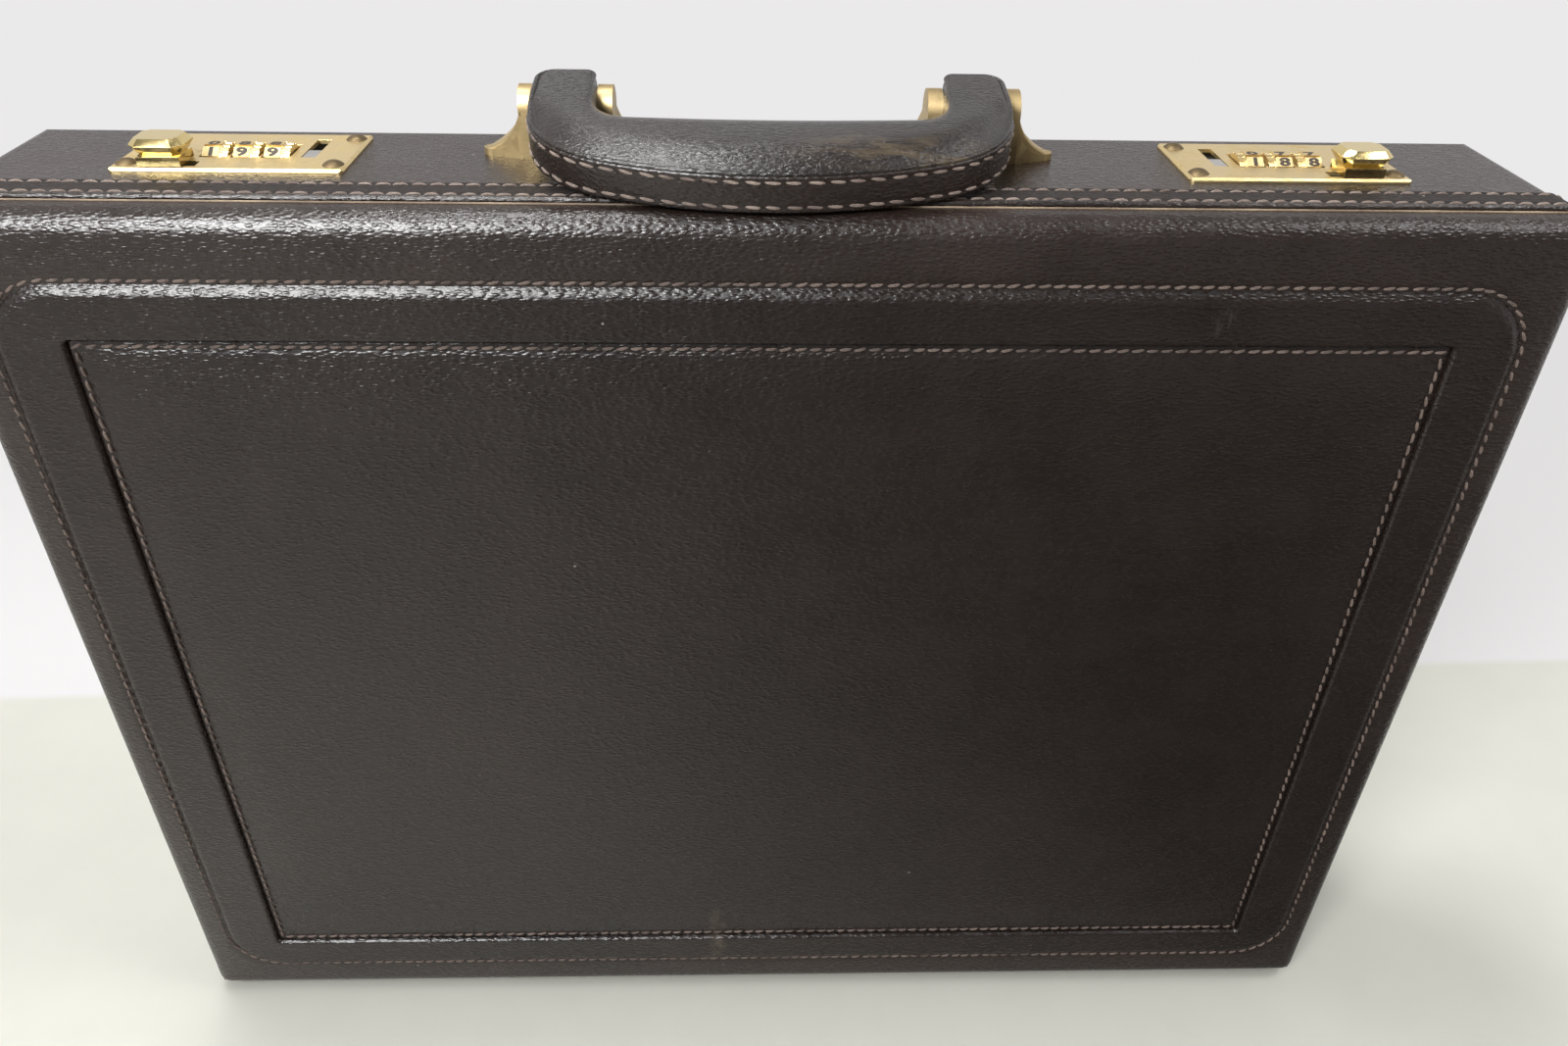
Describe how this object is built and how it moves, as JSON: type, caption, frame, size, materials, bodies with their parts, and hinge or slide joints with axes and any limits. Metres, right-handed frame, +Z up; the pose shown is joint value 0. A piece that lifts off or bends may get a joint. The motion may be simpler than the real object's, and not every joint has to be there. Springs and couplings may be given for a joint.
{
  "type": "briefcase",
  "caption": "Slim hard-sided leather attache case with a hinged lid, folding padded handle, combination locks and sliding latches.",
  "frame": {"origin": "middle of the closed case's footprint at the underside of its feet", "axes": "+X along the width, -Y towards the padded lid (front), +Z up from the hinge side to the handle side"},
  "size_m": [0.458, 0.08, 0.3597],
  "materials": {
    "cover_leather": "dark brown pebbled leather, satin with a glossy edge",
    "trim_leather": "dark brown pebbled leather over padding, stitched in tan thread",
    "handle_leather": "dark brown smooth-worn leather, stitched rim",
    "wood": "plain unfinished wood",
    "lining": "tan brown suede-like cloth",
    "folio_leather": "smooth brown leather",
    "polished_brass": "polished pale gold brass with light wear",
    "aged_brass": "brushed, darkened brass",
    "steel": "plain steel"
  },
  "bodies": {
    "base": {"base_frame": "wood", "base_back_panel": "wood", "base_cover": "cover_leather", "mouth_piping": "cover_leather", "valance_band": "trim_leather", "mouth_tongue": "steel", "base_lining": "lining", "hinge_leaf_base": "aged_brass", "hinge_pin": "steel", "foot_studs": "aged_brass", "lock_plate_left": "polished_brass", "lock_plate_right": "polished_brass", "lock_case_left": "steel", "lock_case_right": "steel", "lock_rivets": "aged_brass", "dial_shaft_left": "steel", "dial_shaft_right": "steel", "handle_bracket_left": "aged_brass", "handle_bracket_right": "aged_brass", "handle_pins": "aged_brass", "bracket_rivets": "aged_brass", "stay_plate_left": "aged_brass", "stay_plate_right": "aged_brass"},
    "lid": {"lid_frame": "wood", "lid_panel": "wood", "lid_cover": "cover_leather", "lid_band": "trim_leather", "lid_centre_pad": "trim_leather", "lid_lining": "lining", "hinge_leaf_lid": "aged_brass", "folio_back": "folio_leather", "folio_pocket": "folio_leather", "card_pockets": "folio_leather", "keeper_left": "steel", "keeper_right": "steel", "lid_rivets": "aged_brass", "stay_ear_left": "aged_brass", "stay_ear_right": "aged_brass"},
    "handle": {"handle_core": "steel", "handle_grip": "handle_leather", "handle_rim": "handle_leather"},
    "latch_left": {"latch_bolt_left": "steel", "latch_button_left": "polished_brass"},
    "reset_left": {"reset_slide_left": "steel"},
    "dial_left_1_body": {"dial_left_1": "polished_brass"},
    "dial_left_2_body": {"dial_left_2": "polished_brass"},
    "dial_left_3_body": {"dial_left_3": "polished_brass"},
    "stay_base_left": {"stay_arm_base_left": "aged_brass"},
    "stay_lid_left": {"stay_arm_lid_left": "aged_brass"},
    "latch_right": {"latch_bolt_right": "steel", "latch_button_right": "polished_brass"},
    "reset_right": {"reset_slide_right": "steel"},
    "dial_right_1_body": {"dial_right_1": "polished_brass"},
    "dial_right_2_body": {"dial_right_2": "polished_brass"},
    "dial_right_3_body": {"dial_right_3": "polished_brass"},
    "stay_base_right": {"stay_arm_base_right": "aged_brass"},
    "stay_lid_right": {"stay_arm_lid_right": "aged_brass"}
  },
  "joints": [
    {"name": "lid_hinge", "type": "hinge", "parent": "base", "child": "lid", "pos_m": [0, -0.0276, 0.003], "axis": [1, 0, 0], "range_deg": [0, 95]},
    {"name": "handle_swing", "type": "hinge", "parent": "base", "child": "handle", "pos_m": [0, 0.0163, 0.35], "axis": [-1, 0, 0], "range_deg": [0, 185]},
    {"name": "latch_left", "type": "slide", "parent": "base", "child": "latch_left", "axis": [1, 0, 0], "range_m": [-0.0015, 0.005], "stiffness_N_per_m": 300},
    {"name": "reset_left", "type": "slide", "parent": "base", "child": "reset_left", "axis": [0, 1, 0], "range_m": [0, 0.005]},
    {"name": "dial_left_1_turn", "type": "hinge", "parent": "base", "child": "dial_left_1_body", "pos_m": [-0.1634, 0.0123, 0.33265], "axis": [1, 0, 0], "continuous": true},
    {"name": "dial_left_2_turn", "type": "hinge", "parent": "base", "child": "dial_left_2_body", "pos_m": [-0.1545, 0.0123, 0.33265], "axis": [1, 0, 0], "continuous": true},
    {"name": "dial_left_3_turn", "type": "hinge", "parent": "base", "child": "dial_left_3_body", "pos_m": [-0.1456, 0.0123, 0.33265], "axis": [1, 0, 0], "continuous": true},
    {"name": "stay_base_left", "type": "hinge", "parent": "base", "child": "stay_base_left", "pos_m": [-0.218, 0.0174, 0.038], "axis": [1, 0, 0], "range_deg": [0, 95]},
    {"name": "stay_lid_left", "type": "hinge", "parent": "lid", "child": "stay_lid_left", "pos_m": [-0.2164, -0.0266, 0.053], "axis": [1, 0, 0], "range_deg": [-95, 0]},
    {"name": "latch_right", "type": "slide", "parent": "base", "child": "latch_right", "axis": [-1, 0, 0], "range_m": [-0.0015, 0.005], "stiffness_N_per_m": 300},
    {"name": "reset_right", "type": "slide", "parent": "base", "child": "reset_right", "axis": [0, 1, 0], "range_m": [0, 0.005]},
    {"name": "dial_right_1_turn", "type": "hinge", "parent": "base", "child": "dial_right_1_body", "pos_m": [0.1634, 0.0123, 0.33265], "axis": [1, 0, 0], "continuous": true},
    {"name": "dial_right_2_turn", "type": "hinge", "parent": "base", "child": "dial_right_2_body", "pos_m": [0.1545, 0.0123, 0.33265], "axis": [1, 0, 0], "continuous": true},
    {"name": "dial_right_3_turn", "type": "hinge", "parent": "base", "child": "dial_right_3_body", "pos_m": [0.1456, 0.0123, 0.33265], "axis": [1, 0, 0], "continuous": true},
    {"name": "stay_base_right", "type": "hinge", "parent": "base", "child": "stay_base_right", "pos_m": [0.218, 0.0174, 0.038], "axis": [1, 0, 0], "range_deg": [0, 95]},
    {"name": "stay_lid_right", "type": "hinge", "parent": "lid", "child": "stay_lid_right", "pos_m": [0.2164, -0.0266, 0.053], "axis": [1, 0, 0], "range_deg": [-95, 0]}
  ],
  "couplings": [
    {"joint": "stay_base_left", "follows": "lid_hinge", "ratio": 1},
    {"joint": "stay_lid_left", "follows": "lid_hinge", "ratio": -1},
    {"joint": "stay_base_right", "follows": "lid_hinge", "ratio": 1},
    {"joint": "stay_lid_right", "follows": "lid_hinge", "ratio": -1}
  ]
}
